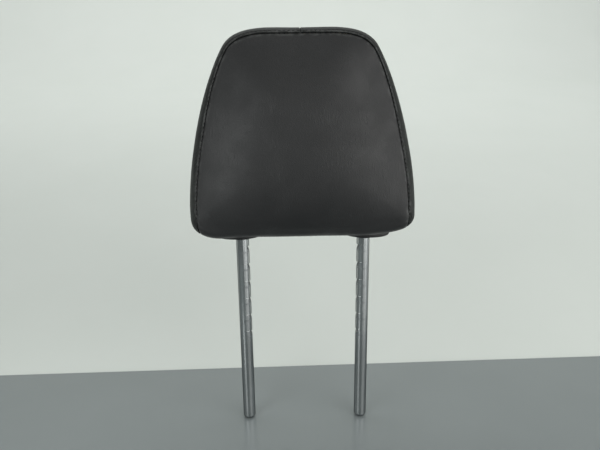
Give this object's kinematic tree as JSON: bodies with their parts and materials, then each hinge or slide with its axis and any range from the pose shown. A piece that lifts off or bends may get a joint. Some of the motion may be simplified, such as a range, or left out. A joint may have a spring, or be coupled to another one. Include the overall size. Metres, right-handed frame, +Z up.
{
  "type": "car seat head restraint",
  "caption": "Leather covered padded head restraint on two notched steel posts that slide into a seat backrest.",
  "frame": {"origin": "midway between the lower ends of the two posts, on their axes", "axes": "+Z up along the posts, -Y is the side that faces the head, +X is to the right of somebody who looks at that side"},
  "size_m": [0.232, 0.0971, 0.4329],
  "materials": {
    "post_chrome": "bright chromed steel",
    "tube_steel": "plain drawn steel tube",
    "screw_zinc": "zinc plated",
    "leather": "soft black leather, fine grain, low sheen",
    "thread": "black bonded polyester sewing thread",
    "foam": "moulded flexible polyurethane foam",
    "bezel_plastic": "fine textured black moulding",
    "strip_plastic": "extruded black plastic",
    "carrier_plastic": "moulded polypropylene",
    "bush_plastic": "natural acetal",
    "liner_rubber": "moulded rubber"
  },
  "bodies": {
    "root": {"left_post": "post_chrome", "right_post": "post_chrome", "cross_tube": "tube_steel", "carrier_front": "carrier_plastic", "carrier_rear": "carrier_plastic", "carrier_screw_1": "screw_zinc", "carrier_screw_2": "screw_zinc", "carrier_screw_3": "screw_zinc", "carrier_screw_4": "screw_zinc", "carrier_screw_5": "screw_zinc", "carrier_screw_6": "screw_zinc", "tube_liner_left": "liner_rubber", "tube_liner_right": "liner_rubber", "left_bezel": "bezel_plastic", "right_bezel": "bezel_plastic", "left_post_bush": "bush_plastic", "right_post_bush": "bush_plastic", "foam_core": "foam", "cover_front": "leather", "cover_back": "leather", "cover_boxing_left": "leather", "cover_boxing_right": "leather", "closure_strip_front": "strip_plastic", "closure_strip_rear": "strip_plastic"}
  },
  "joints": []
}
